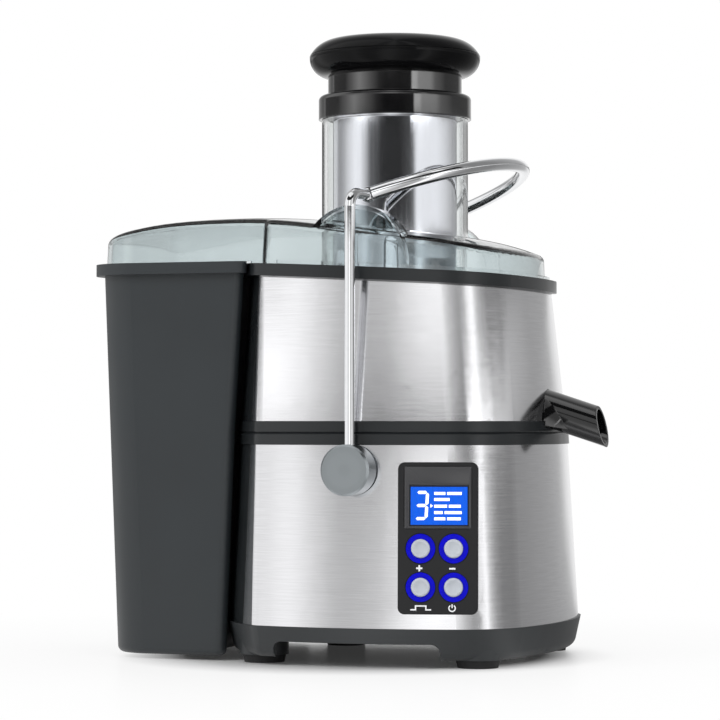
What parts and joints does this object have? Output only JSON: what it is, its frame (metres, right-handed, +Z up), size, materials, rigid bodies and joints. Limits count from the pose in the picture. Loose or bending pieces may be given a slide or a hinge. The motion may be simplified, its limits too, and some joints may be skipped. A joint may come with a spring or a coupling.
{
  "type": "centrifugal juicer",
  "caption": "Countertop centrifugal juicer with a steel-wrapped motor base, clear lid and feed chute, pusher, over-the-top locking arm, side pulp bin, low spout and push-button display panel.",
  "frame": {"origin": "on the table, at the middle of the whole object's plan", "axes": "+X towards the spout, -Y towards the control panel's side, +Z up along the drive axis"},
  "size_m": [0.309, 0.2282, 0.3812],
  "materials": {
    "dark_moulding": "satin dark slate moulding",
    "base_moulding": "fine matte grey moulding",
    "bin_moulding": "matte slate moulding",
    "foot_rubber": "matte black rubber",
    "brushed_wrap": "brushed along the wrap",
    "clear_lid": "smoke-tinted clear plastic",
    "knob_plastic": "glossy near-black",
    "neck_plastic": "satin black",
    "chromed_rod": "polished chrome",
    "cap_metal": "satin with a bright edge",
    "panel_plastic": "dark grey satin",
    "lens_plastic": "black glossy frame",
    "display_glass": "blue lit display",
    "ring_plastic": "saturated blue",
    "button_plastic": "light grey",
    "circuit_board": "green laminate",
    "switch_plastic": "moulded black",
    "plain_steel": "machined or pressed steel",
    "cast_bracket": "die cast",
    "bush_plastic": "natural low-friction plastic",
    "copper_brass": "wound copper and bright bars"
  },
  "bodies": {
    "motor_base": {"base_tray": "base_moulding", "rubber_feet": "foot_rubber", "base_screws": "plain_steel", "motor_housing": "dark_moulding", "lower_steel_wrap": "brushed_wrap", "shaft_seal": "foot_rubber", "pivot_bushes": "bush_plastic", "cord_gland": "foot_rubber", "speed_board": "circuit_board", "interlock_switch": "switch_plastic", "control_panel": "panel_plastic", "display_lens": "lens_plastic", "lcd_module": "display_glass", "button_rings": "ring_plastic", "control_board": "circuit_board", "motor_bracket_bottom": "cast_bracket", "motor_bracket_top": "cast_bracket", "bearing_bottom": "plain_steel", "bearing_top": "plain_steel", "motor_dampers": "foot_rubber", "motor_bolts": "plain_steel", "stator_core": "plain_steel", "field_coils": "copper_brass", "brush_holders": "switch_plastic", "juice_bowl": "dark_moulding", "bowl_steel_wrap": "brushed_wrap", "juice_spout": "dark_moulding"},
    "drive": {"motor_shaft": "plain_steel", "armature_core": "plain_steel", "armature_winding": "copper_brass", "commutator": "copper_brass", "cooling_fan": "switch_plastic", "drive_coupling": "neck_plastic", "basket_hub": "neck_plastic", "grater_disc": "plain_steel", "filter_basket": "plain_steel", "basket_rim": "neck_plastic"},
    "lid": {"lid_cover": "clear_lid", "feed_chute": "clear_lid"},
    "pusher": {"pusher_sleeve": "brushed_wrap", "pusher_foot": "neck_plastic", "pusher_collar": "knob_plastic", "pusher_neck": "neck_plastic", "pusher_knob": "knob_plastic"},
    "locking_arm": {"arm_rods": "chromed_rod", "arm_handle": "chromed_rod", "pivot_caps": "cap_metal", "pivot_pins": "plain_steel", "interlock_cam": "plain_steel"},
    "pulp_bin": {"pulp_bin": "bin_moulding"},
    "button_plus": {"button_plus": "button_plastic"},
    "button_minus": {"button_minus": "button_plastic"},
    "button_pulse": {"button_pulse": "button_plastic"},
    "button_power": {"button_power": "button_plastic"}
  },
  "joints": [
    {"name": "drive_spin", "type": "hinge", "parent": "motor_base", "child": "drive", "pos_m": [0.02, 0, 0.1], "axis": [0, 0, 1], "continuous": true},
    {"name": "arm_swing", "type": "hinge", "parent": "motor_base", "child": "locking_arm", "pos_m": [0.028, 0, 0.1154], "axis": [0, 1, 0], "range_deg": [0, 95]},
    {"name": "lid_lift", "type": "slide", "parent": "motor_base", "child": "lid", "axis": [0, 0, 1], "range_m": [0, 0.065]},
    {"name": "pusher_slide", "type": "slide", "parent": "lid", "child": "pusher", "axis": [0, 0, 1], "range_m": [0, 0.12]},
    {"name": "bin_slide", "type": "slide", "parent": "motor_base", "child": "pulp_bin", "axis": [-1, 0, 0], "range_m": [0, 0.13]},
    {"name": "button_plus_press", "type": "slide", "parent": "motor_base", "child": "button_plus", "axis": [-0.254, 0.9658, -0.0527], "range_m": [0, 0.0015], "stiffness_N_per_m": 400},
    {"name": "button_minus_press", "type": "slide", "parent": "motor_base", "child": "button_minus", "axis": [-0.254, 0.9658, -0.0527], "range_m": [0, 0.0015], "stiffness_N_per_m": 400},
    {"name": "button_pulse_press", "type": "slide", "parent": "motor_base", "child": "button_pulse", "axis": [-0.254, 0.9658, -0.0527], "range_m": [0, 0.0015], "stiffness_N_per_m": 400},
    {"name": "button_power_press", "type": "slide", "parent": "motor_base", "child": "button_power", "axis": [-0.254, 0.9658, -0.0527], "range_m": [0, 0.0015], "stiffness_N_per_m": 400}
  ],
  "couplings": [
    {"joint": "lid_lift", "follows": "arm_swing", "m_per_rad": 0.039202}
  ]
}
